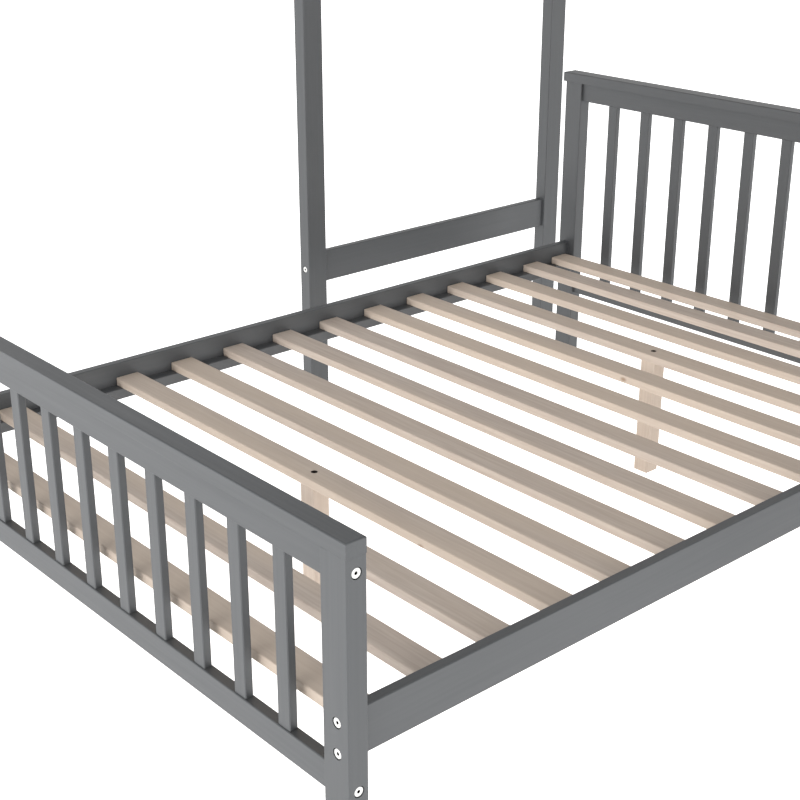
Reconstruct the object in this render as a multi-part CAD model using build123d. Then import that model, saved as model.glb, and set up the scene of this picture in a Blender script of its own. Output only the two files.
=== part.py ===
from build123d import *

# Bunk bed in painted wood: a wide slatted bed whose head end stands under a raised bunk.
# The wide bed is a frame of its own and runs foot to head along +X. The raised bunk stands on
# its own four posts, runs along Y and crosses over the head end. All sizes are millimetres.
# Origin: centre of the overall box on the floor. +X foot to head, +Y near side to far side.

import os
from dataclasses import dataclass

# Mattresses, and the play left round them
LOWER_MATTRESS_LENGTH = 1905.0
LOWER_MATTRESS_WIDTH = 1372.0
LOWER_WIDTH_PLAY = 6.0
UPPER_MATTRESS_LENGTH = 1905.0
UPPER_MATTRESS_WIDTH = 900.0
UPPER_WIDTH_PLAY = 2.0
LENGTH_PLAY = 39.0

# Posts: wide face and deep face of each unit's stock
POST_WIDE = 57.0
POST_DEEP = 36.0
LOFT_POST_WIDE = 60.0
LOFT_POST_DEEP = 38.0

# Rails
SIDE_RAIL_THICK = 20.0
SIDE_RAIL_HIGH = 80.0
SIDE_RAIL_INSET = 16.0
END_RAIL_THICK = 20.0
END_RAIL_HIGH = 50.0
CAP_THICK = 25.0
HEAD_CAP_OVERHANG = 5.0
LOFT_RAIL_HIGH = 85.0
GUARD_RAIL_HIGH = 60.0

# Heights above the floor
SIDE_RAIL_TOP = 340.0
LOW_RAIL_BOTTOM = 190.0
FOOT_HEIGHT = 617.0
HEAD_HEIGHT = 820.0
LOFT_LOW_RAIL_BOTTOM = 300.0
LOFT_PLATFORM_BOTTOM = 1250.0
LOFT_HEIGHT = 1650.0
GUARD_GAP = 72.0

# Slats and the cleats that carry them
SLAT_WIDE = 57.0
SLAT_THICK = 19.0
SLAT_PITCH = 146.0
SLAT_BELOW_RAIL = 33.0
SLAT_END_GAP = 2.0
FIRST_SLAT_GAP = 6.0
LAST_SLAT_GAP = 13.0
CLEAT_WIDE = 25.0
CLEAT_HIGH = 25.0

# Centre legs: square, under the fourth slat and under the seventh after it
LEG_SQUARE = 40.0
LEG_SLAT_INDEX = 3
LEG_SLATS_APART = 7

# Spindles of the end panels and uprights of the guards
SPINDLE_WIDE = 30.0
SPINDLE_THICK = 15.0
SPINDLE_PITCH = 112.0
LOFT_SPINDLE_PITCH = 98.0
GUARD_UPRIGHTS = 2
MORTISE_DEEP = 11.0
MORTISE_SIDE_PLAY = 0.15
MORTISE_END_PLAY = 1.0

# Where the raised bunk stands over the wide bed
LOFT_FRONT_FROM_FOOT = 1235.0
LOFT_FAR_GAP = 222.0

# Ladder at the near end
LADDER_STILE_THICK = 25.0
LADDER_STILE_DEEP = 60.0
LADDER_WIDE = 400.0
LADDER_POST_GAP = 5.0
TREAD_COUNT = 4
TREAD_THICK = 22.0
TREAD_HOUSING = 8.0
TREAD_INSET = 2.0

# Connecting screws: a flat head with a hex socket, sunk in a recess
SCREW_SHANK = 7.0
SCREW_GRIP = 35.0
SCREW_HEAD = 16.0
SCREW_HEAD_THICK = 2.5
SCREW_RECESS = 19.0
SCREW_RECESS_DEEP = 5.0
SOCKET = 5.0
SOCKET_DEEP = 2.0
SIDE_SCREW_MARGIN = 14.0
LADDER_SCREW_GRIP = 14.0
LADDER_SCREW_MARGIN = 20.0

# Screws down through a slat into a centre leg: smaller and sunk deeper
LEG_SCREW_HEAD = 11.0
LEG_SCREW_RECESS = 14.0
LEG_SCREW_RECESS_DEEP = 9.0

# Room round screws and dowels, and past their ends
BORE_PLAY = 0.5
FIT_PLAY = 0.1
END_ROOM = 1.0

# Wooden dowels that stop the end rails from turning and hold the caps
DOWEL = 8.0
DOWEL_LONG = 30.0
DOWEL_MARGIN = 10.0

# Small round things are drawn with few sides
HEAD_SIDES = 12
SHANK_SIDES = 6

# Softening of the long edges
EDGE_EASE = 1.5

# Sizes that follow from the above
LOWER_INNER_LENGTH = LOWER_MATTRESS_LENGTH + LENGTH_PLAY
LOWER_LENGTH = LOWER_INNER_LENGTH + 2 * POST_DEEP
RAIL_REACH = SIDE_RAIL_INSET + SIDE_RAIL_THICK
LOWER_WIDTH = LOWER_MATTRESS_WIDTH + LOWER_WIDTH_PLAY + 2 * RAIL_REACH
LOFT_INNER_LENGTH = UPPER_MATTRESS_LENGTH + LENGTH_PLAY
LOFT_LENGTH = LOFT_INNER_LENGTH + 2 * LOFT_POST_DEEP
LOFT_WIDTH = UPPER_MATTRESS_WIDTH + UPPER_WIDTH_PLAY + 2 * RAIL_REACH
LOFT_PLATFORM_TOP = LOFT_PLATFORM_BOTTOM + LOFT_RAIL_HIGH
LOFT_RAIL_INSET = (LOFT_POST_DEEP - END_RAIL_THICK) / 2
GUARD_TOP = LOFT_PLATFORM_TOP + 2 * (GUARD_GAP + GUARD_RAIL_HIGH)
LADDER_REACH = LADDER_STILE_DEEP - LOFT_RAIL_INSET

# Overall box, and the faces that everything is placed from
OVERALL_X = max(LOWER_LENGTH, LOFT_FRONT_FROM_FOOT + LOFT_WIDTH)
LOFT_FAR_OUTER_FROM_NEAR = LOWER_WIDTH + LOFT_FAR_GAP + LOFT_POST_DEEP
OVERALL_Y = LOFT_LENGTH + LADDER_REACH
X_FOOT = -OVERALL_X / 2
X_HEAD = X_FOOT + LOWER_LENGTH
Y_LOFT_FAR = OVERALL_Y / 2
Y_LOFT_NEAR = Y_LOFT_FAR - LOFT_LENGTH
Y_NEAR = Y_LOFT_FAR - LOFT_FAR_OUTER_FROM_NEAR
Y_FAR = Y_NEAR + LOWER_WIDTH
Y_MID = (Y_NEAR + Y_FAR) / 2
X_LOFT_FRONT = X_FOOT + LOFT_FRONT_FROM_FOOT
X_LOFT_BACK = X_LOFT_FRONT + LOFT_WIDTH

# Every piece by name. What stands before a dot is the node that the piece is kept in.
pieces = {}


def add(name, solid):
    """Keeps a piece under its name."""
    pieces[name] = solid


def cut(name, cutter):
    """Takes a cutter's shape out of a piece."""
    pieces[name] = pieces[name] - cutter


def block(low, high):
    """A square-edged block between two corners."""
    size = [b - a for a, b in zip(low, high)]
    centre = [(a + b) / 2 for a, b in zip(low, high)]
    return Pos(*centre) * Box(*size)


def board(low, high, ease=EDGE_EASE):
    """A board between two corners, with its four long edges eased."""
    size = [b - a for a, b in zip(low, high)]
    run = (Axis.X, Axis.Y, Axis.Z)[size.index(max(size))]
    solid = block(low, high)
    return chamfer(solid.edges().filter_by(run), min(ease, min(size) / 4))


def bar(width, sides, start, end, plane):
    """A straight bar of a width over its corners, along a plane's normal between two distances."""
    return plane * (Pos(0, 0, start) * extrude(RegularPolygon(width / 2, sides), end - start))


@dataclass
class Screwed:
    """A connecting screw through one piece into another.

    face is the point on the outer face where the screw goes in, into is its direction, through is
    the thickness that it passes and grip is its length in the piece beyond.
    """

    outer: str
    inner: str
    face: tuple
    into: tuple
    through: float
    grip: float = SCREW_GRIP
    head: float = SCREW_HEAD
    recess: float = SCREW_RECESS
    sunk: float = SCREW_RECESS_DEEP

    def screw(self, plane):
        """The screw: a flat head with a hex socket, on a plain shank."""
        top = self.sunk - SCREW_HEAD_THICK
        head = bar(self.head, HEAD_SIDES, top, self.sunk, plane)
        shank = bar(SCREW_SHANK, SHANK_SIDES, self.sunk, self.through + self.grip, plane)
        return head + shank - bar(SOCKET, SHANK_SIDES, top, top + SOCKET_DEEP, plane)

    def make(self):
        """Drills both pieces and returns the screw."""
        plane = Plane(origin=self.face, z_dir=self.into)
        recess = bar(self.recess, HEAD_SIDES, 0, self.sunk, plane)
        cut(self.outer, recess + bar(SCREW_SHANK + BORE_PLAY, SHANK_SIDES, self.sunk, self.through, plane))
        end = self.through + self.grip + END_ROOM
        cut(self.inner, bar(SCREW_SHANK + FIT_PLAY, SHANK_SIDES, self.through, end, plane))
        return self.screw(plane)


@dataclass
class Dowelled:
    """A wooden dowel across the joint between two pieces, half in each."""

    first: str
    second: str
    joint: tuple
    along: tuple

    def make(self):
        """Drills both pieces and returns the dowel."""
        plane = Plane(origin=self.joint, z_dir=self.along)
        half = DOWEL_LONG / 2
        cut(self.first, bar(DOWEL + FIT_PLAY, SHANK_SIDES, -half - END_ROOM, 0, plane))
        cut(self.second, bar(DOWEL + FIT_PLAY, SHANK_SIDES, 0, half + END_ROOM, plane))
        return bar(DOWEL, SHANK_SIDES, -half, half, plane)


def spindle_half(wide_along):
    """Half the spindle section along X and Y, with its wide face along the given axis."""
    half_thick, half_wide = SPINDLE_THICK / 2, SPINDLE_WIDE / 2
    return (half_thick, half_wide) if wide_along == "y" else (half_wide, half_thick)


def spindle(x, y, bottom, top, wide_along):
    """An upright whose ends go into mortises above and below."""
    half_x, half_y = spindle_half(wide_along)
    into = MORTISE_DEEP - MORTISE_END_PLAY
    return board((x - half_x, y - half_y, bottom - into), (x + half_x, y + half_y, top + into))


def mortise(x, y, low, high, wide_along):
    """The mortise for a spindle's end, between two heights."""
    half_x, half_y = (half + MORTISE_SIDE_PLAY for half in spindle_half(wide_along))
    return block((x - half_x, y - half_y, low), (x + half_x, y + half_y, high))


def spindle_row(node, places, bottom_rail, top_rail, bottom, top, wide_along):
    """A row of spindles let into the rails below and above them."""
    for number, (x, y) in enumerate(places, start=1):
        add(f"{node}.under_{top_rail}_{number}", spindle(x, y, bottom, top, wide_along))
        cut(bottom_rail, mortise(x, y, bottom - MORTISE_DEEP, bottom, wide_along))
        cut(top_rail, mortise(x, y, top, top + MORTISE_DEEP, wide_along))


def evenly(low, high, pitch):
    """Centres at a pitch, spread about the middle, with the end gaps near a full gap."""
    count = max(1, round((high - low) / pitch) - 1)
    middle = (low + high) / 2
    return [middle + (k - (count - 1) / 2) * pitch for k in range(count)]


def slat_starts(start, length):
    """Near edges of the slats: a steady pitch, and one more slat close to the last end."""
    first = start + FIRST_SLAT_GAP
    last = start + length - LAST_SLAT_GAP - SLAT_WIDE
    count = int((last - SLAT_WIDE - first) / SLAT_PITCH) + 1
    return [first + k * SLAT_PITCH for k in range(count)] + [last]


def end_frame(end, x, height, overhang=0.0):
    """A footboard or headboard: two posts, a cap, two rails and a row of spindles.

    x is its low face along X, height is its top and overhang is how far the cap stands out.
    """
    under_cap = height - CAP_THICK
    y_in_near = Y_NEAR + POST_WIDE
    y_in_far = Y_FAR - POST_WIDE
    mid_x = x + POST_DEEP / 2
    cap, upper, lower = f"{end}_cap_rail", f"{end}_upper_rail", f"{end}_lower_rail"
    add(f"{end}_post_near", board((x, Y_NEAR, 0), (x + POST_DEEP, y_in_near, under_cap)))
    add(f"{end}_post_far", board((x, y_in_far, 0), (x + POST_DEEP, Y_FAR, under_cap)))
    low = (x - overhang, Y_NEAR - overhang, under_cap)
    add(cap, board(low, (x + POST_DEEP + overhang, Y_FAR + overhang, height)))
    levels = {upper: under_cap - END_RAIL_HIGH, lower: LOW_RAIL_BOTTOM}
    for name, bottom in levels.items():
        low = (mid_x - END_RAIL_THICK / 2, y_in_near, bottom)
        add(name, board(low, (mid_x + END_RAIL_THICK / 2, y_in_far, bottom + END_RAIL_HIGH)))
    places = [(mid_x, y) for y in evenly(y_in_near, y_in_far, SPINDLE_PITCH)]
    spindle_row(f"{end}_spindles", places, lower, upper, LOW_RAIL_BOTTOM + END_RAIL_HIGH, levels[upper], "y")

    screws, dowels = [], []
    for name, bottom in levels.items():
        for side, y, way, y_in in (("near", Y_NEAR, 1, y_in_near), ("far", Y_FAR, -1, y_in_far)):
            post = f"{end}_post_{side}"
            face = (mid_x, y, bottom + END_RAIL_HIGH / 2)
            screws.append(Screwed(post, name, face, (0, way, 0), POST_WIDE))
            dowels.append(Dowelled(post, name, (mid_x, y_in, bottom + DOWEL_MARGIN), (0, way, 0)))
    half_post = POST_WIDE / 2
    under = {f"{end}_post_near": Y_NEAR + half_post, f"{end}_post_far": Y_FAR - half_post, upper: Y_MID}
    for name, y in under.items():
        dowels.append(Dowelled(name, cap, (mid_x, y, under_cap), (0, 0, 1)))
    return screws, dowels


def lower_side_rails():
    """The two side rails of the wide bed, with the cleats that carry the slats."""
    x_start = X_FOOT + POST_DEEP
    x_end = X_HEAD - POST_DEEP
    bottom = SIDE_RAIL_TOP - SIDE_RAIL_HIGH
    cleat_top = SIDE_RAIL_TOP - SLAT_BELOW_RAIL - SLAT_THICK
    screws = []
    for side, y_outer, way in (("near", Y_NEAR + SIDE_RAIL_INSET, 1), ("far", Y_FAR - SIDE_RAIL_INSET, -1)):
        rail = f"side_rail_{side}"
        y_inner = y_outer + way * SIDE_RAIL_THICK
        y_cleat = y_inner + way * CLEAT_WIDE
        low = (x_start, min(y_outer, y_inner), bottom)
        add(rail, board(low, (x_end, max(y_outer, y_inner), SIDE_RAIL_TOP)))
        low = (x_start, min(y_inner, y_cleat), cleat_top - CLEAT_HIGH)
        add(f"slat_cleat_{side}", block(low, (x_end, max(y_inner, y_cleat), cleat_top)))
        for level in (bottom + SIDE_SCREW_MARGIN, SIDE_RAIL_TOP - SIDE_SCREW_MARGIN):
            for end, x, into in (("foot", X_FOOT, 1), ("head", X_HEAD, -1)):
                face = (x, (y_outer + y_inner) / 2, level)
                screws.append(Screwed(f"{end}_post_{side}", rail, face, (into, 0, 0), POST_DEEP))
    return screws


def lower_slats():
    """The slats of the wide bed, and the two centre legs that are screwed on under them."""
    top = SIDE_RAIL_TOP - SLAT_BELOW_RAIL
    under = top - SLAT_THICK
    y_low = Y_NEAR + RAIL_REACH + SLAT_END_GAP
    y_high = Y_FAR - RAIL_REACH - SLAT_END_GAP
    starts = slat_starts(X_FOOT + POST_DEEP, LOWER_INNER_LENGTH)
    for number, x in enumerate(starts, start=1):
        add(f"bed_slat_{number:02d}", block((x, y_low, under), (x + SLAT_WIDE, y_high, top)))
    for end, index in (("foot", LEG_SLAT_INDEX), ("head", LEG_SLAT_INDEX + LEG_SLATS_APART)):
        x = starts[index] + SLAT_WIDE / 2
        half = LEG_SQUARE / 2
        leg = f"centre_leg_{end}"
        add(leg, board((x - half, Y_MID - half, 0), (x + half, Y_MID + half, under)))
        joint = Screwed(
            f"bed_slat_{index + 1:02d}", leg, (x, Y_MID, top), (0, 0, -1), SLAT_THICK,
            head=LEG_SCREW_HEAD, recess=LEG_SCREW_RECESS, sunk=LEG_SCREW_RECESS_DEEP,
        )
        add(f"leg_screws.{end}", joint.make())


def loft_posts():
    """The four posts of the raised bunk."""
    for side, x in (("front", X_LOFT_FRONT), ("back", X_LOFT_BACK - LOFT_POST_WIDE)):
        for end, y in (("near", Y_LOFT_NEAR), ("far", Y_LOFT_FAR - LOFT_POST_DEEP)):
            high = (x + LOFT_POST_WIDE, y + LOFT_POST_DEEP, LOFT_HEIGHT)
            add(f"loft_post_{side}_{end}", board((x, y, 0), high))


def loft_end_rails(end, y_post):
    """The rails across one end of the raised bunk: low rail, platform rail and top rail.

    At the near end the top rail starts at the ladder and leaves the way in open.
    """
    y_mid = y_post + LOFT_POST_DEEP / 2
    half = END_RAIL_THICK / 2
    x_front = X_LOFT_FRONT + LOFT_POST_WIDE
    x_back = X_LOFT_BACK - LOFT_POST_WIDE
    top_start = x_front if end == "far" else x_front + LADDER_POST_GAP + LADDER_WIDE - LADDER_STILE_THICK
    spindle_start = top_start if end == "far" else top_start + LADDER_STILE_THICK
    platform, top = f"loft_end_rail_{end}", f"loft_top_rail_{end}"
    top_bottom = GUARD_TOP - GUARD_RAIL_HIGH
    rails = {
        f"loft_low_rail_{end}": (x_front, LOFT_LOW_RAIL_BOTTOM, LOFT_RAIL_HIGH),
        platform: (x_front, LOFT_PLATFORM_BOTTOM, LOFT_RAIL_HIGH),
        top: (top_start, top_bottom, GUARD_RAIL_HIGH),
    }
    screws, dowels = [], []
    for name, (x_start, bottom, high) in rails.items():
        add(name, board((x_start, y_mid - half, bottom), (x_back, y_mid + half, bottom + high)))
        ends = [("back", X_LOFT_BACK, -1, x_back)]
        if x_start == x_front:
            ends.append(("front", X_LOFT_FRONT, 1, x_front))
        for side, x, into, x_in in ends:
            post = f"loft_post_{side}_{end}"
            screws.append(Screwed(post, name, (x, y_mid, bottom + high / 2), (into, 0, 0), LOFT_POST_WIDE))
            if name != top:
                joint = (x_in, y_mid, bottom + high - DOWEL_MARGIN)
                dowels.append(Dowelled(post, name, joint, (into, 0, 0)))
    places = [(x, y_mid) for x in evenly(spindle_start, x_back, LOFT_SPINDLE_PITCH)]
    spindle_row("loft_end_spindles", places, platform, top, LOFT_PLATFORM_TOP, top_bottom, "x")
    return screws, dowels


def loft_sides():
    """The side rails of the raised bunk, with their cleats and the guard rails above them."""
    y_start = Y_LOFT_NEAR + LOFT_POST_DEEP
    y_end = Y_LOFT_FAR - LOFT_POST_DEEP
    cleat_top = LOFT_PLATFORM_TOP - SLAT_BELOW_RAIL - SLAT_THICK
    step = (y_end - y_start) / (GUARD_UPRIGHTS + 1)
    screws = []
    for side, x_outer, way in (
        ("front", X_LOFT_FRONT + SIDE_RAIL_INSET, 1),
        ("back", X_LOFT_BACK - SIDE_RAIL_INSET, -1),
    ):
        x_inner = x_outer + way * SIDE_RAIL_THICK
        x_mid = (x_outer + x_inner) / 2
        x_cleat = x_inner + way * CLEAT_WIDE
        low = (min(x_inner, x_cleat), y_start, cleat_top - CLEAT_HIGH)
        add(f"loft_cleats.{side}", block(low, (max(x_inner, x_cleat), y_end, cleat_top)))
        side_rail = f"loft_side_rail_{side}"
        levels = {side_rail: (LOFT_PLATFORM_BOTTOM, LOFT_RAIL_HIGH)}
        for number in (1, 2):
            bottom = LOFT_PLATFORM_TOP + number * GUARD_GAP + (number - 1) * GUARD_RAIL_HIGH
            levels[f"guard_rails_{side}.{number}"] = (bottom, GUARD_RAIL_HIGH)
        for name, (bottom, high) in levels.items():
            low = (x_mid - SIDE_RAIL_THICK / 2, y_start, bottom)
            add(name, board(low, (x_mid + SIDE_RAIL_THICK / 2, y_end, bottom + high)))
            heights = (SIDE_SCREW_MARGIN, high - SIDE_SCREW_MARGIN) if name == side_rail else (high / 2,)
            for height in heights:
                for end, y, into in (("near", Y_LOFT_NEAR, 1), ("far", Y_LOFT_FAR, -1)):
                    post = f"loft_post_{side}_{end}"
                    face = (x_mid, y, bottom + height)
                    screws.append(Screwed(post, name, face, (0, into, 0), LOFT_POST_DEEP))
        names = list(levels)
        places = [(x_mid, y_start + k * step) for k in range(1, GUARD_UPRIGHTS + 1)]
        for under, over in zip(names, names[1:]):
            bottom = sum(levels[under])
            spindle_row("guard_uprights", places, under, over, bottom, levels[over][0], "y")
    return screws


def loft_slats():
    """The slats of the raised bunk, across its width."""
    top = LOFT_PLATFORM_TOP - SLAT_BELOW_RAIL
    x_low = X_LOFT_FRONT + RAIL_REACH + SLAT_END_GAP
    x_high = X_LOFT_BACK - RAIL_REACH - SLAT_END_GAP
    for number, y in enumerate(slat_starts(Y_LOFT_NEAR + LOFT_POST_DEEP, LOFT_INNER_LENGTH), start=1):
        add(f"loft_slats.{number}", block((x_low, y, top - SLAT_THICK), (x_high, y + SLAT_WIDE, top)))


def ladder():
    """The upright ladder at the near end: two stiles, and treads housed between them."""
    y_back = Y_LOFT_NEAR + LOFT_RAIL_INSET
    y_front = y_back - LADDER_STILE_DEEP
    x_start = X_LOFT_FRONT + LOFT_POST_WIDE + LADDER_POST_GAP
    x_end = x_start + LADDER_WIDE
    stiles = {
        "ladder_stile_front": (x_start, x_start + LADDER_STILE_THICK),
        "ladder_stile_back": (x_end - LADDER_STILE_THICK, x_end),
    }
    for name, (x_low, x_high) in stiles.items():
        add(name, board((x_low, y_front, 0), (x_high, y_back, GUARD_TOP)))
    x_low = x_start + LADDER_STILE_THICK - TREAD_HOUSING
    x_high = x_end - LADDER_STILE_THICK + TREAD_HOUSING
    for number in range(1, TREAD_COUNT + 1):
        top = number * LOFT_PLATFORM_TOP / (TREAD_COUNT + 1)
        tread = block((x_low, y_front + TREAD_INSET, top - TREAD_THICK), (x_high, y_back - TREAD_INSET, top))
        add(f"ladder_treads.{number}", tread)
        for name in stiles:
            cut(name, tread)
    carried = {
        "loft_low_rail_near": (LOFT_LOW_RAIL_BOTTOM, stiles),
        "loft_end_rail_near": (LOFT_PLATFORM_BOTTOM, stiles),
        "loft_top_rail_near": (GUARD_TOP - GUARD_RAIL_HIGH, ["ladder_stile_back"]),
    }
    screws = []
    for rail, (bottom, names) in carried.items():
        for name in names:
            face = (sum(stiles[name]) / 2, y_front, bottom + LADDER_SCREW_MARGIN)
            screws.append(Screwed(name, rail, face, (0, 1, 0), LADDER_STILE_DEEP, grip=LADDER_SCREW_GRIP))
    return screws


def fasten(screw_node, dowel_node, screws, dowels):
    """Makes every screwed and dowelled joint of one unit."""
    for number, joint in enumerate(screws, start=1):
        add(f"{screw_node}.{number}", joint.make())
    for number, joint in enumerate(dowels, start=1):
        add(f"{dowel_node}.{number}", joint.make())


def build():
    """Builds both units, the wide bed first."""
    foot_screws, foot_dowels = end_frame("foot", X_FOOT, FOOT_HEIGHT)
    head_screws, head_dowels = end_frame("head", X_HEAD - POST_DEEP, HEAD_HEIGHT, HEAD_CAP_OVERHANG)
    side_screws = lower_side_rails()
    lower_slats()
    fasten("frame_screws", "frame_dowels", foot_screws + head_screws + side_screws, foot_dowels + head_dowels)

    loft_posts()
    far_screws, far_dowels = loft_end_rails("far", Y_LOFT_FAR - LOFT_POST_DEEP)
    near_screws, near_dowels = loft_end_rails("near", Y_LOFT_NEAR)
    screws = far_screws + near_screws + loft_sides() + ladder()
    loft_slats()
    fasten("loft_screws", "loft_dowels", screws, far_dowels + near_dowels)


def export():
    """Writes one file for each node, with a node's separate pieces as separate solids."""
    os.makedirs("parts", exist_ok=True)
    nodes = {}
    for name, shape in pieces.items():
        nodes.setdefault(name.split(".")[0], []).extend(shape.solids())
    for node, solids in nodes.items():
        shape = solids[0] if len(solids) == 1 else Compound(children=solids)
        shape.label = node
        export_step(shape, f"parts/{node}.step")
    print(f"{len(nodes)} nodes, overall {OVERALL_X:.0f} x {OVERALL_Y:.0f} x {LOFT_HEIGHT:.0f} mm")


build()
export()
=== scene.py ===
"""The bunk bed's finishes: sprayed and planed pine, plated screws, and the plain studio round it."""

from __future__ import annotations

import logging
import math
from dataclasses import dataclass, field
from enum import Enum

import bmesh
import bpy
from mathutils import Matrix, Vector

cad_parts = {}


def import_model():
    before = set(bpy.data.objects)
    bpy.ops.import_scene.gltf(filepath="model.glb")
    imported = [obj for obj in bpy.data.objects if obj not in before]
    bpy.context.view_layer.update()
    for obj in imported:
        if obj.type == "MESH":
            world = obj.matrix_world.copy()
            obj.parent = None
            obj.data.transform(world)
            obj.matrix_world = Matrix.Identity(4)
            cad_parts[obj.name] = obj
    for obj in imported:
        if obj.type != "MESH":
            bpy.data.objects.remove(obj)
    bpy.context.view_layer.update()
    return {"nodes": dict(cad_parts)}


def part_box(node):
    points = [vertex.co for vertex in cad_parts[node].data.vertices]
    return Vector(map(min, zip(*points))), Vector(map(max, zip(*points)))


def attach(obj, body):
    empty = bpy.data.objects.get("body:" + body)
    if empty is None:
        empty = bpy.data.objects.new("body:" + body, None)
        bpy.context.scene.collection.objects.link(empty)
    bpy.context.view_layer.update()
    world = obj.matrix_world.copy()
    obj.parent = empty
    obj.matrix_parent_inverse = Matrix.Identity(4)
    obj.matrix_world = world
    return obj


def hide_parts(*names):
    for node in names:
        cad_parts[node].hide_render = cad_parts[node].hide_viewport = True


LOG = logging.getLogger("bunk_bed")
MM = 0.001
MERGE = 1e-6
NOISE_LOW = 0.3
NOISE_HIGH = 0.7
PHOTO_PX = 800
WIDE_BED = "lower_bed"
RAISED_BUNK = "upper_bunk"
BARE_PINE = "bare_pine"
PAINTED_PINE = "grey_painted_pine"
STEEL = "zinc_plated_steel"
# The leg screws' heads nearly fill their 14 mm holes and sit about flush, in the dark steel: a dark disc
# that paints the shade of deep holes.
LEG_SCREW = {"head_mm": 13.4, "head_thick_mm": 8.4, "rise_mm": 6.4, "dish_mm": 9.0, "length_mm": 51.0}


class Grain(Enum):
    """The axis that a board's grain runs along."""

    ALONG_X = 0
    ALONG_Y = 1
    ALONG_Z = 2


def linear(hex_code: str) -> tuple[float, float, float, float]:
    """Turns an sRGB hex value into a linear colour.

    Args:
        hex_code: A hash and six hex digits.

    Returns:
        Red, green and blue, with full alpha.
    """
    channels = [int(hex_code[k : k + 2], 16) / 255 for k in (1, 3, 5)]
    red, green, blue = (c / 12.92 if c <= 0.04045 else ((c + 0.055) / 1.055) ** 2.4 for c in channels)
    return red, green, blue, 1.0


def add_node(
    tree: bpy.types.NodeTree,
    kind: str,
    settings: dict[str | int, object] | None = None,
    links: dict[str | int, bpy.types.NodeSocket] | None = None,
) -> bpy.types.Node:
    """Adds a node with its settings and links.

    Args:
        tree: The tree that it goes in.
        kind: Its type, without the ShaderNode in front.
        settings: Values for its attributes or, where it has no such attribute, its inputs.
        links: Outputs of other nodes, by the input that each goes to.

    Returns:
        The node.
    """
    node = tree.nodes.new(f"ShaderNode{kind}")
    for name, value in (settings or {}).items():
        if isinstance(name, str) and hasattr(node, name):
            setattr(node, name, value)
        else:
            node.inputs[name].default_value = value
    for name, socket in (links or {}).items():
        tree.links.new(socket, node.inputs[name])
    return node


def new_material(name: str) -> tuple[bpy.types.Material, bpy.types.Node]:
    """Makes an empty material.

    Args:
        name: The material's name.

    Returns:
        The material, and its output node.
    """
    material = bpy.data.materials.new(name)
    material.use_nodes = True
    material.node_tree.nodes.clear()
    return material, add_node(material.node_tree, "OutputMaterial")


def board_space(tree: bpy.types.NodeTree, grain: Grain, stretch: float) -> bpy.types.NodeSocket:
    """Gives coordinates in metres in which patterns come out stretched along a board's grain.

    Args:
        tree: The material's tree.
        grain: The way the grain runs.
        stretch: How much longer a pattern gets along the grain.

    Returns:
        The vector output.
    """
    scale = [1.0, 1.0, 1.0]
    scale[grain.value] = 1 / stretch
    place = add_node(tree, "TexCoord").outputs["Object"]
    return add_node(tree, "Mapping", {"Scale": scale}, {"Vector": place}).outputs["Vector"]


def spread(
    tree: bpy.types.NodeTree, noise: bpy.types.NodeSocket, span: tuple[float, float]
) -> bpy.types.NodeSocket:
    """Spreads the usual range of a noise over a span of values.

    Args:
        tree: The material's tree.
        noise: The noise.
        span: The values for its low and its high end.

    Returns:
        The value output.
    """
    ends = {"From Min": NOISE_LOW, "From Max": NOISE_HIGH, "To Min": span[0], "To Max": span[1]}
    return add_node(tree, "MapRange", ends, {"Value": noise}).outputs["Result"]


@dataclass(frozen=True)
class SprayedPine:
    """Pine under sprayed grey lacquer: satin, with the grain just telling through the film."""

    name: str = "sprayed_pine_lacquer"
    colour: str = "#47494b"
    deep: str = "#454749"
    streak_mm: float = 6.0
    streak_stretch: float = 40.0
    pore_mm: float = 1.1
    pore_stretch: float = 22.0
    pore_depth_mm: float = 0.06
    edge_mm: float = 0.9
    roughness: tuple[float, float] = (0.44, 0.49)

    def material(self, grain: Grain) -> bpy.types.Material:
        """Makes the finish for boards whose grain runs one way.

        Args:
            grain: The way the grain runs.

        Returns:
            The material.
        """
        material, output = new_material(f"{self.name}_{grain.name.lower()}")
        tree = material.node_tree
        long_space = board_space(tree, grain, self.streak_stretch)
        pore_space = board_space(tree, grain, self.pore_stretch)
        # Lacquer sinks a little over the soft rings, so the tone and the sheen drift in long streaks
        streaks = add_node(
            tree, "TexNoise", {"Scale": 1 / (self.streak_mm * MM), "Detail": 3.0}, {"Vector": long_space}
        ).outputs["Fac"]
        tone = add_node(
            tree, "MapRange", {"From Min": 0.32, "From Max": 0.68}, {"Value": streaks}
        ).outputs["Result"]
        colour = add_node(
            tree,
            "Mix",
            {"data_type": "RGBA", 6: linear(self.colour), 7: linear(self.deep)},
            {0: tone},
        ).outputs[2]
        sheen = spread(tree, streaks, self.roughness)
        # Filled pores show as fine shallow dents
        pores = add_node(
            tree, "TexNoise", {"Scale": 1 / (self.pore_mm * MM), "Detail": 2.0}, {"Vector": pore_space}
        ).outputs["Fac"]
        edge = add_node(tree, "Bevel", {"samples": 4, "Radius": self.edge_mm * MM}).outputs["Normal"]
        relief = add_node(
            tree,
            "Bump",
            {"Strength": 0.35, "Distance": self.pore_depth_mm * MM},
            {"Height": pores, "Normal": edge},
        ).outputs["Normal"]
        shader = add_node(
            tree,
            "BsdfPrincipled",
            {"IOR": 1.5},
            {"Base Color": colour, "Roughness": sheen, "Normal": relief},
        )
        tree.links.new(shader.outputs["BSDF"], output.inputs["Surface"])
        return material


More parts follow.
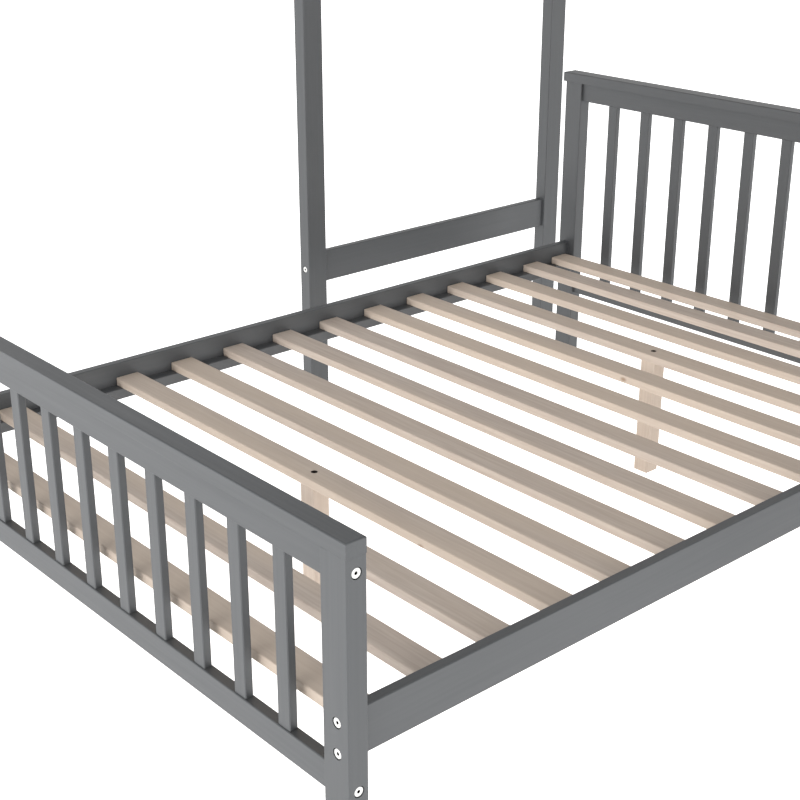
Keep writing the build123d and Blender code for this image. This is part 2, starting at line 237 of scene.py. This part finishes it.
@dataclass(frozen=True)
class PlanedPine:
    """Bare pine, planed: pale, matt, with rings, fine fibre and a small knot here and there."""

    name: str = "planed_bare_pine"
    early_wood: str = "#b9ada2"
    late_wood: str = "#a89a8f"
    board_tint: str = "#c0b09f"
    knot_rim: str = "#8d7561"
    knot_heart: str = "#6f5744"
    ring_mm: float = 5.0
    ring_stretch: float = 26.0
    ring_strength: float = 0.9
    fibre_mm: float = 1.6
    fibre_stretch: float = 14.0
    fibre_depth_mm: float = 0.12
    board_mm: float = 120.0
    knot_cell_mm: float = 105.0
    knot_stretch: float = 1.7
    knot_reach: float = 0.075
    knot_share: float = 0.45
    edge_mm: float = 1.2
    roughness: tuple[float, float] = (0.58, 0.70)

    def material(self, grain: Grain) -> bpy.types.Material:
        """Makes the finish for boards whose grain runs one way.

        Args:
            grain: The way the grain runs.

        Returns:
            The material.
        """
        material, output = new_material(f"{self.name}_{grain.name.lower()}")
        tree = material.node_tree
        rings = add_node(
            tree,
            "TexNoise",
            {"Scale": 1 / (self.ring_mm * MM), "Detail": 2.5, "Roughness": 0.45},
            {"Vector": board_space(tree, grain, self.ring_stretch)},
        ).outputs["Fac"]
        fibre = add_node(
            tree,
            "TexNoise",
            {"Scale": 1 / (self.fibre_mm * MM), "Detail": 2.0},
            {"Vector": board_space(tree, grain, self.fibre_stretch)},
        ).outputs["Fac"]
        ring_tone = spread(tree, rings, (0.0, self.ring_strength))
        wood = add_node(
            tree,
            "Mix",
            {"data_type": "RGBA", 6: linear(self.early_wood), 7: linear(self.late_wood)},
            {0: ring_tone},
        ).outputs[2]
        # No two boards come from the same tree, so their tint drifts from one to the next
        drift = add_node(
            tree,
            "TexNoise",
            {"Scale": 1 / (self.board_mm * MM), "Detail": 1.0},
            {"Vector": board_space(tree, grain, 12.0)},
        ).outputs["Fac"]
        drift_share = add_node(
            tree, "MapRange", {"From Min": 0.40, "From Max": 0.65, "To Max": 0.55}, {"Value": drift}
        ).outputs["Result"]
        wood = add_node(
            tree, "Mix", {"data_type": "RGBA", 7: linear(self.board_tint)}, {0: drift_share, 6: wood}
        ).outputs[2]
        colour = self.with_knots(tree, grain, wood)
        rough = spread(tree, fibre, self.roughness)
        edge = add_node(tree, "Bevel", {"samples": 4, "Radius": self.edge_mm * MM}).outputs["Normal"]
        relief = add_node(
            tree,
            "Bump",
            {"Strength": 0.4, "Distance": self.fibre_depth_mm * MM},
            {"Height": fibre, "Normal": edge},
        ).outputs["Normal"]
        shader = add_node(
            tree,
            "BsdfPrincipled",
            {"IOR": 1.45},
            {"Base Color": colour, "Roughness": rough, "Normal": relief},
        )
        tree.links.new(shader.outputs["BSDF"], output.inputs["Surface"])
        return material

    def with_knots(
        self, tree: bpy.types.NodeTree, grain: Grain, wood: bpy.types.NodeSocket
    ) -> bpy.types.NodeSocket:
        """Lays small knots into the wood's colour.

        Args:
            tree: The material's tree.
            grain: The way the grain runs.
            wood: The colour without knots.

        Returns:
            The colour with knots.
        """
        cells = add_node(
            tree,
            "TexVoronoi",
            {"Scale": 1 / (self.knot_cell_mm * MM)},
            {"Vector": board_space(tree, grain, self.knot_stretch)},
        )
        picked = add_node(
            tree, "SeparateColor", links={"Color": cells.outputs["Color"]}
        ).outputs["Red"]
        chosen = add_node(
            tree, "Math", {"operation": "LESS_THAN", 1: self.knot_share}, {0: picked}
        ).outputs["Value"]
        near = add_node(
            tree,
            "MapRange",
            {
                "interpolation_type": "SMOOTHSTEP",
                "From Min": self.knot_reach,
                "From Max": self.knot_reach * 0.4,
            },
            {"Value": cells.outputs["Distance"]},
        ).outputs["Result"]
        share = add_node(tree, "Math", {"operation": "MULTIPLY"}, {0: near, 1: chosen}).outputs["Value"]
        heart = add_node(
            tree,
            "MapRange",
            {"From Min": self.knot_reach * 0.45, "From Max": self.knot_reach * 0.15},
            {"Value": cells.outputs["Distance"]},
        ).outputs["Result"]
        knot = add_node(
            tree,
            "Mix",
            {"data_type": "RGBA", 6: linear(self.knot_rim), 7: linear(self.knot_heart)},
            {0: heart},
        ).outputs[2]
        return add_node(
            tree, "Mix", {"data_type": "RGBA"}, {0: share, 6: wood, 7: knot}
        ).outputs[2]


@dataclass(frozen=True)
class HeadedSteel:
    """Cold-headed steel under a thin finish: zinc is bright and a little cloudy; the dark dull steel is
    painted shade, put in the screw sockets and over the leg screws' holes.
    """

    name: str
    colour: str
    roughness: tuple[float, float]
    cloud_mm: float = 2.5

    def material(self) -> bpy.types.Material:
        """Makes the finish."""
        material, output = new_material(self.name)
        tree = material.node_tree
        place = add_node(tree, "TexCoord").outputs["Object"]
        clouds = add_node(
            tree, "TexNoise", {"Scale": 1 / (self.cloud_mm * MM), "Detail": 4.0}, {"Vector": place}
        ).outputs["Fac"]
        rough = spread(tree, clouds, self.roughness)
        shader = add_node(
            tree,
            "BsdfPrincipled",
            {"Base Color": linear(self.colour), "Metallic": 1.0},
            {"Roughness": rough},
        )
        tree.links.new(shader.outputs["BSDF"], output.inputs["Surface"])
        return material


@dataclass
class Workshop:
    """The finishes in use, each made once for each way of the grain."""

    sprayed: SprayedPine = field(default_factory=SprayedPine)
    planed: PlanedPine = field(default_factory=PlanedPine)
    zinc: HeadedSteel = HeadedSteel(STEEL, "#dadad8", (0.42, 0.58))
    # The dark steel is painted shade: it stands for the shade in screw sockets and deep leg screw holes.
    black: HeadedSteel = HeadedSteel("painted_shade_dark_steel", "#2c2522", (0.50, 0.65))
    made: dict[tuple[str, Grain | None], bpy.types.Material] = field(default_factory=dict)

    def wood(self, finish: SprayedPine | PlanedPine, grain: Grain) -> bpy.types.Material:
        """Gives a wood finish for one way of the grain, made on its first use.

        Args:
            finish: The finish.
            grain: The way the grain runs.

        Returns:
            The material.
        """
        key = (finish.name, grain)
        if key not in self.made:
            self.made[key] = finish.material(grain)
        return self.made[key]

    def plated(self) -> bpy.types.Material:
        """Gives the zinc-plated steel."""
        return self.steel(self.zinc)

    def painted_shade_steel(self) -> bpy.types.Material:
        """Gives the dark steel that paints the shade in the screw sockets and the leg screws' holes."""
        return self.steel(self.black)

    def steel(self, finish: HeadedSteel) -> bpy.types.Material:
        """Gives a steel finish, made on its first use.

        Args:
            finish: The finish.

        Returns:
            The material.
        """
        key = (finish.name, None)
        if key not in self.made:
            self.made[key] = finish.material()
        return self.made[key]


def dress(piece: bpy.types.Object, material: bpy.types.Material) -> None:
    """Puts one finish on a whole piece.

    Args:
        piece: The piece.
        material: Its finish.
    """
    if not piece.material_slots:
        piece.data.materials.append(material)
    for slot in piece.material_slots:
        slot.material = material
    LOG.info("%s: %s", piece.name, material.name)


@dataclass
class Joinery:
    """A sub-assembly of boards, with the pieces of each finish by the way their grain runs."""

    nodes: dict[str, bpy.types.Object]
    workshop: Workshop

    def boards(self) -> dict[Grain, tuple[str, ...]]:
        """Names the sprayed boards by their grain."""
        return {}

    def bare_boards(self) -> dict[Grain, tuple[str, ...]]:
        """Names the bare boards by their grain."""
        return {}

    def finish_boards(self) -> None:
        """Puts the finishes on every board."""
        for finish, boards in (
            (self.workshop.sprayed, self.boards()),
            (self.workshop.planed, self.bare_boards()),
        ):
            for grain, names in boards.items():
                for name in names:
                    dress(self.nodes[name], self.workshop.wood(finish, grain))


@dataclass
class EndPanel(Joinery):
    """The footboard or headboard of the wide bed."""

    end: str = "foot"

    def boards(self) -> dict[Grain, tuple[str, ...]]:
        """Names the sprayed boards by their grain."""
        upright = (f"{self.end}_post_near", f"{self.end}_post_far", f"{self.end}_spindles")
        across = (f"{self.end}_cap_rail", f"{self.end}_upper_rail", f"{self.end}_lower_rail")
        return {Grain.ALONG_Z: upright, Grain.ALONG_Y: across}


@dataclass
class SlattedBase(Joinery):
    """The side rails, cleats, slats and centre legs of the wide bed."""

    slat_count: int = 14

    def slats(self) -> tuple[str, ...]:
        """Names the bed slats."""
        return tuple(f"bed_slat_{number:02d}" for number in range(1, self.slat_count + 1))

    def boards(self) -> dict[Grain, tuple[str, ...]]:
        """Names the sprayed boards by their grain."""
        return {Grain.ALONG_X: ("side_rail_near", "side_rail_far", "slat_cleat_near", "slat_cleat_far")}

    def bare_boards(self) -> dict[Grain, tuple[str, ...]]:
        """Names the bare boards by their grain."""
        return {Grain.ALONG_Y: self.slats(), Grain.ALONG_Z: ("centre_leg_foot", "centre_leg_head")}


@dataclass
class RaisedBunk(Joinery):
    """The posts, rails, guards and slats of the raised bunk."""

    def boards(self) -> dict[Grain, tuple[str, ...]]:
        """Names the sprayed boards by their grain."""
        ends = ("near", "far")
        sides = ("front", "back")
        posts = tuple(f"loft_post_{side}_{end}" for side in sides for end in ends)
        across = tuple(f"loft_{level}_rail_{end}" for level in ("low", "end", "top") for end in ends)
        along = tuple(f"{kind}_{side}" for kind in ("loft_side_rail", "guard_rails") for side in sides)
        return {
            Grain.ALONG_Z: posts + ("loft_end_spindles", "guard_uprights"),
            Grain.ALONG_X: across,
            Grain.ALONG_Y: along + ("loft_cleats",),
        }

    def bare_boards(self) -> dict[Grain, tuple[str, ...]]:
        """Names the bare boards by their grain."""
        return {Grain.ALONG_X: ("loft_slats",)}


@dataclass
class Ladder(Joinery):
    """The stiles and treads of the ladder."""

    def boards(self) -> dict[Grain, tuple[str, ...]]:
        """Names the sprayed boards by their grain."""
        stiles = ("ladder_stile_front", "ladder_stile_back")
        return {Grain.ALONG_Z: stiles, Grain.ALONG_X: ("ladder_treads",)}


@dataclass
class EasedBoard:
    """A plain board of the frame with its long edges rounded over, as a planer's cutters leave them."""

    node: bpy.types.Object
    body: str
    ease_mm: float = 2.0
    long_mm: float = 150.0
    flat_deg: float = 1.0
    arris_deg: float = 60.0
    steps: int = 3

    def build(self, material: bpy.types.Material, slot: str) -> bpy.types.Object:
        """Rounds the long edges of a copy of the board, which then stands for it.

        Args:
            material: Its finish.
            slot: The name of a slot for the finish; not used.

        Returns:
            The piece.
        """
        shape = bmesh.new()
        shape.from_mesh(self.node.data)
        bmesh.ops.remove_doubles(shape, verts=shape.verts, dist=MERGE)
        bmesh.ops.dissolve_limit(
            shape, angle_limit=math.radians(self.flat_deg), verts=shape.verts, edges=shape.edges
        )
        sharp = math.radians(self.arris_deg)
        arrises = [
            edge
            for edge in shape.edges
            if edge.calc_length() > self.long_mm * MM and edge.calc_face_angle(0) > sharp
        ]
        rounded = bmesh.ops.bevel(
            shape,
            geom=arrises,
            offset=self.ease_mm * MM,
            segments=self.steps,
            profile=0.5,
            affect="EDGES",
            material=-1,
        )
        for face in rounded["faces"]:
            face.smooth = True
        return stand_for(shape, self.node, self.body, "eased", material)


@dataclass
class CapRail:
    """A cap rail with its upper edges rounded and its underside left square on the posts."""

    node: bpy.types.Object
    body: str
    round_mm: float = 2.5
    steps: int = 4

    def build(self, material: bpy.types.Material) -> bpy.types.Object:
        """Models the cap in the space of the frame's plain one.

        Args:
            material: Its finish.

        Returns:
            The piece.
        """
        low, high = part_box(self.node.name)
        shape = bmesh.new()
        bmesh.ops.create_cube(shape, size=1.0)
        bmesh.ops.scale(shape, vec=high - low, verts=shape.verts)
        bmesh.ops.translate(shape, vec=(low + high) / 2, verts=shape.verts)
        middle = (low.z + high.z) / 2
        upper = [edge for edge in shape.edges if sum(corner.co.z for corner in edge.verts) / 2 > middle]
        rounded = bmesh.ops.bevel(
            shape,
            geom=upper,
            offset=self.round_mm * MM,
            segments=self.steps,
            profile=0.5,
            affect="EDGES",
            material=-1,
        )
        for face in rounded["faces"]:
            face.smooth = True
        return stand_for(shape, self.node, self.body, "rounded", material)


def stand_for(
    shape: bmesh.types.BMesh,
    node: bpy.types.Object,
    body: str,
    made: str,
    material: bpy.types.Material,
) -> bpy.types.Object:
    """Makes a shape the piece that stands for a node of the frame.

    Args:
        shape: The shape, which is freed.
        node: The node's object.
        body: The body that it rides on.
        made: How it was made, for its name.
        material: Its finish.

    Returns:
        The piece.
    """
    bmesh.ops.recalc_face_normals(shape, faces=shape.faces)
    mesh = bpy.data.meshes.new(f"{node.name}_{made}")
    shape.to_mesh(mesh)
    shape.free()
    piece = bpy.data.objects.new(mesh.name, mesh)
    bpy.context.scene.collection.objects.link(piece)
    dress(piece, material)
    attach(piece, body)
    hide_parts(node.name)
    return piece


@dataclass
class Placed:
    """Where a fastener sits: the middle of its outer face, and the way that it goes in."""

    face: Vector
    into: Vector


def solids_of(piece: bpy.types.Object) -> list[list[Vector]]:
    """Splits a node's mesh into its separate solids.

    Args:
        piece: The node's object.

    Returns:
        The corners of each solid.
    """
    mesh = bmesh.new()
    mesh.from_mesh(piece.data)
    bmesh.ops.remove_doubles(mesh, verts=mesh.verts, dist=MERGE)
    left = set(mesh.verts)
    solids = []
    while left:
        edge = [left.pop()]
        corners = []
        while edge:
            corner = edge.pop()
            corners.append(corner.co.copy())
            for link in corner.link_edges:
                other = link.other_vert(corner)
                if other in left:
                    left.remove(other)
                    edge.append(other)
        solids.append(corners)
    mesh.free()
    return solids


def fastener_place(corners: list[Vector]) -> Placed:
    """Works out how a fastener sits: it is longest along its axis, and widest at its head.

    Args:
        corners: The corners of one solid.

    Returns:
        Its place.
    """
    low = Vector([min(c[k] for c in corners) for k in range(3)])
    high = Vector([max(c[k] for c in corners) for k in range(3)])
    size = high - low
    axis = max(range(3), key=lambda k: size[k])
    middle = (low + high) / 2

    def girth(level: float) -> float:
        """Gives how far the corners near a level stand from the axis."""
        near = [c for c in corners if abs(c[axis] - level) < size[axis] * 0.02]
        away = [(c - middle) for c in near]
        return max(math.sqrt(sum(v[k] ** 2 for k in range(3) if k != axis)) for v in away)

    head_low = girth(low[axis]) > girth(high[axis])
    face = middle.copy()
    face[axis] = low[axis] if head_low else high[axis]
    into = Vector((0.0, 0.0, 0.0))
    into[axis] = 1.0 if head_low else -1.0
    return Placed(face, into)


@dataclass
class Screws:
    """The flat-headed screws of one unit, turned and headed as the real ones are."""

    node: bpy.types.Object
    body: str
    finish: bpy.types.Material
    # Painted shade: the dark steel that the socket faces take, for the shade inside the sockets.
    socket_shade: bpy.types.Material
    head_mm: float = 16.2
    head_thick_mm: float = 4.8
    rise_mm: float = 1.7
    rim_mm: float = 0.9
    dish_mm: float = 10.6
    dish_deep_mm: float = 0.6
    socket_mm: float = 4.6
    socket_deep_mm: float = 4.0
    shank_mm: float = 6.0
    tip_mm: float = 3.0
    tip_share: float = 0.4
    chamfer_mm: float = 0.3
    length_mm: float = 88.0
    sides: int = 36

    def profile(self) -> list[tuple[float, float, bool]]:
        """Gives half of a screw's section, from its tip to the floor of its socket.

        Returns:
            For each ring of corners its radius and height in mm, and whether it is a hexagon.
        """
        head = self.head_mm / 2
        shank = self.shank_mm / 2
        dish = self.dish_mm / 2
        flat = self.socket_mm / 2
        round_off = [
            (head - self.rim_mm * (1 - math.cos(turn)), -self.rim_mm * (1 - math.sin(turn)), False)
            for turn in (0.0, math.pi / 6, math.pi / 3, math.pi / 2)
        ]
        return [
            (shank * self.tip_share, -self.length_mm, False),
            (shank, self.tip_mm - self.length_mm, False),
            (shank, -self.head_thick_mm, False),
            (head, -self.head_thick_mm, False),
            *round_off,
            (dish, 0.0, False),
            (dish - self.chamfer_mm, -self.dish_deep_mm, False),
            (flat + self.chamfer_mm, -self.dish_deep_mm, True),
            (flat, -self.dish_deep_mm - self.chamfer_mm, True),
            (flat, -self.socket_deep_mm, True),
        ]

    def one(self) -> bmesh.types.BMesh:
        """Models one screw, with the middle of its outer face at the origin and its shank along -Z.

        Returns:
            The screw.
        """
        screw = bmesh.new()
        rings = self.profile()
        made = bmesh.ops.create_circle(screw, segments=self.sides, radius=1.0)
        corners = made["verts"]
        loop = screw.edges[:]
        bmesh.ops.contextual_create(screw, geom=loop)
        for number, (radius, height, hexagon) in enumerate(rings):
            if number:
                grown = bmesh.ops.extrude_edge_only(screw, edges=loop)["geom"]
                corners = [g for g in grown if isinstance(g, bmesh.types.BMVert)]
                loop = [g for g in grown if isinstance(g, bmesh.types.BMEdge)]
            for corner in corners:
                turn = math.atan2(corner.co.y, corner.co.x)
                from_flat = (turn + math.pi / 6) % (math.pi / 3) - math.pi / 6
                reach = radius * MM / (math.cos(from_flat) if hexagon else 1.0)
                corner.co = (reach * math.cos(turn), reach * math.sin(turn), height * MM)
        bmesh.ops.contextual_create(screw, geom=loop)
        bmesh.ops.recalc_face_normals(screw, faces=screw.faces)
        socket_reach = (self.socket_mm / 2 + self.chamfer_mm) / math.cos(math.pi / 6) * MM
        for face in screw.faces:
            middle = face.calc_center_median()
            # Faces in the socket take the second slot, the dark steel that paints their shade.
            in_socket = middle.xy.length < socket_reach and middle.z > -self.head_thick_mm * MM
            face.material_index = int(in_socket)
            face.smooth = not in_socket and abs(face.normal.z) < 0.95
        return screw

    def build(self) -> bpy.types.Object:
        """Models every screw of the node as one piece; its sockets take the dark steel as painted shade.

        Returns:
            The piece.
        """
        master = bpy.data.meshes.new("screw_master")
        one = self.one()
        one.to_mesh(master)
        one.free()
        every = bmesh.new()
        places = [fastener_place(corners) for corners in solids_of(self.node)]
        for place in places:
            before = len(every.verts)
            every.from_mesh(master)
            every.verts.ensure_lookup_table()
            turn = Vector((0, 0, -1)).rotation_difference(place.into).to_matrix().to_4x4()
            bmesh.ops.transform(
                every,
                matrix=Matrix.Translation(place.face - place.into * self.rise_mm * MM) @ turn,
                verts=every.verts[before:],
            )
        bpy.data.meshes.remove(master)
        LOG.info("%s: %d screws", self.node.name, len(places))
        piece = stand_for(every, self.node, self.body, "turned", self.finish)
        piece.data.materials.append(self.socket_shade)
        return piece


@dataclass
class Viewpoint:
    """The camera of the photograph: where the eye stands from the near foot post, and its lens."""

    eye_from_post_mm: tuple[float, float, float] = (-1053.5, -1308.4, 1511.1)
    heading_deg: float = 48.746
    tilt_deg: float = 22.372
    roll_deg: float = 0.046
    focal_px: float = 1452.6
    sensor_mm: float = 36.0

    def set_up(self, post_corner: Vector) -> bpy.types.Object:
        """Puts the camera in place.

        Args:
            post_corner: The near foot post's outer corner on the floor.

        Returns:
            The camera.
        """
        data = bpy.data.cameras.new("viewpoint")
        data.sensor_fit = "HORIZONTAL"
        data.sensor_width = self.sensor_mm
        data.lens = self.focal_px / PHOTO_PX * self.sensor_mm
        data.clip_end = 200
        camera = bpy.data.objects.new("viewpoint", data)
        bpy.context.scene.collection.objects.link(camera)
        camera.location = post_corner + Vector(self.eye_from_post_mm) * MM
        turn = Matrix.Rotation(math.radians(self.heading_deg - 90), 4, "Z")
        tilt = Matrix.Rotation(math.radians(90 - self.tilt_deg), 4, "X")
        roll = Matrix.Rotation(math.radians(self.roll_deg), 4, "Z")
        camera.rotation_euler = (turn @ tilt @ roll).to_euler()
        bpy.context.scene.camera = camera
        return camera


@dataclass
class Panel:
    """A soft panel of light, and the point that it faces."""

    name: str
    place: tuple[float, float, float]
    aim: tuple[float, float, float]
    size: tuple[float, float]
    watts: float


@dataclass
class Studio:
    """A plain pale floor under soft light that comes in low from the foot and the near side."""

    floor_half: float = 40.0
    floor_colour: str = "#f4f4f4"
    floor_glow: float = 1.0
    zenith: float = 0.7
    horizon: float = 1.3
    panels: tuple[Panel, ...] = (
        Panel("foot_panel", (-8.0, -0.6, 2.4), (0.0, 0.1, 0.4), (6.0, 3.6), 320.0),
        Panel("near_panel", (0.6, -12.0, 3.4), (0.4, 0.0, 0.5), (8.0, 5.0), 400.0),
    )

    def set_up(self) -> None:
        """Lays the floor and sets up the light."""
        bpy.context.scene.view_settings.view_transform = "Standard"
        self.lay_floor()
        self.light_sky()
        for panel in self.panels:
            self.hang(panel)

    def lay_floor(self) -> bpy.types.Object:
        """Lays the floor.

        Returns:
            The floor.
        """
        ground = bmesh.new()
        bmesh.ops.create_grid(ground, x_segments=1, y_segments=1, size=self.floor_half)
        mesh = bpy.data.meshes.new("floor")
        ground.to_mesh(mesh)
        ground.free()
        floor = bpy.data.objects.new("floor", mesh)
        bpy.context.scene.collection.objects.link(floor)
        material, output = new_material("pale_floor")
        shader = add_node(
            material.node_tree,
            "BsdfPrincipled",
            {
                "Base Color": linear(self.floor_colour),
                "Roughness": 0.9,
                "Specular IOR Level": 0.1,
                "Emission Color": (1.0, 1.0, 1.0, 1.0),
                "Emission Strength": self.floor_glow,
            },
        )
        material.node_tree.links.new(shader.outputs["BSDF"], output.inputs["Surface"])
        mesh.materials.append(material)
        return floor

    def light_sky(self) -> None:
        """Lights the room evenly, brighter from low down than from overhead."""
        world = bpy.data.worlds.new("room")
        world.use_nodes = True
        tree = world.node_tree
        tree.nodes.clear()
        way = add_node(tree, "TexCoord").outputs["Generated"]
        height = add_node(tree, "SeparateXYZ", links={"Vector": way}).outputs["Z"]
        strength = add_node(
            tree,
            "MapRange",
            {"From Min": 0.0, "From Max": 0.7, "To Min": self.horizon, "To Max": self.zenith},
            {"Value": height},
        ).outputs["Result"]
        glow = add_node(tree, "Background", {"Color": (1.0, 1.0, 1.0, 1.0)}, {"Strength": strength})
        output = add_node(tree, "OutputWorld")
        tree.links.new(glow.outputs["Background"], output.inputs["Surface"])
        bpy.context.scene.world = world

    def hang(self, panel: Panel) -> None:
        """Hangs one panel of light.

        Args:
            panel: Its size, place, aim and power.
        """
        data = bpy.data.lights.new(panel.name, "AREA")
        data.shape = "RECTANGLE"
        data.size, data.size_y = panel.size
        data.energy = panel.watts
        lamp = bpy.data.objects.new(panel.name, data)
        bpy.context.scene.collection.objects.link(lamp)
        lamp.location = panel.place
        facing = Vector(panel.aim) - Vector(panel.place)
        lamp.rotation_euler = facing.to_track_quat("-Z", "Y").to_euler()


def main() -> None:
    """Dresses the bed, piece by piece, and sets up the studio."""
    logging.basicConfig(level=logging.INFO, format="%(name)s: %(message)s")
    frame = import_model()
    nodes = frame["nodes"]
    workshop = Workshop()
    base = SlattedBase(nodes, workshop)
    for joinery in (
        EndPanel(nodes, workshop, "foot"),
        EndPanel(nodes, workshop, "head"),
        base,
        RaisedBunk(nodes, workshop),
        Ladder(nodes, workshop),
    ):
        joinery.finish_boards()
    for name, grain, body in (
        *((slat, Grain.ALONG_Y, WIDE_BED) for slat in base.slats()),
        ("centre_leg_foot", Grain.ALONG_Z, WIDE_BED),
        ("centre_leg_head", Grain.ALONG_Z, WIDE_BED),
        ("loft_slats", Grain.ALONG_X, RAISED_BUNK),
    ):
        EasedBoard(nodes[name], body).build(workshop.wood(workshop.planed, grain), BARE_PINE)
    for name, grain, body in (
        ("slat_cleat_near", Grain.ALONG_X, WIDE_BED),
        ("slat_cleat_far", Grain.ALONG_X, WIDE_BED),
        ("loft_cleats", Grain.ALONG_Y, RAISED_BUNK),
        ("ladder_treads", Grain.ALONG_X, RAISED_BUNK),
    ):
        EasedBoard(nodes[name], body).build(workshop.wood(workshop.sprayed, grain), PAINTED_PINE)
    for name in ("foot_cap_rail", "head_cap_rail"):
        CapRail(nodes[name], WIDE_BED).build(workshop.wood(workshop.sprayed, Grain.ALONG_Y))
    for name in ("frame_dowels", "loft_dowels"):
        dress(nodes[name], workshop.wood(workshop.planed, Grain.ALONG_Y))
    # The dark steel paints shade: in every screw socket, and on the heads that fill the leg screws'
    # holes.
    zinc, black = workshop.plated(), workshop.painted_shade_steel()
    Screws(nodes["frame_screws"], WIDE_BED, zinc, black).build()
    Screws(nodes["loft_screws"], RAISED_BUNK, zinc, black).build()
    # The leg screws take the dark steel whole: their heads are painted shade over the holes.
    Screws(nodes["leg_screws"], WIDE_BED, black, black, **LEG_SCREW).build()
    Viewpoint().set_up(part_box("foot_post_near")[0])
    Studio().set_up()


if __name__ == "__main__":
    main()
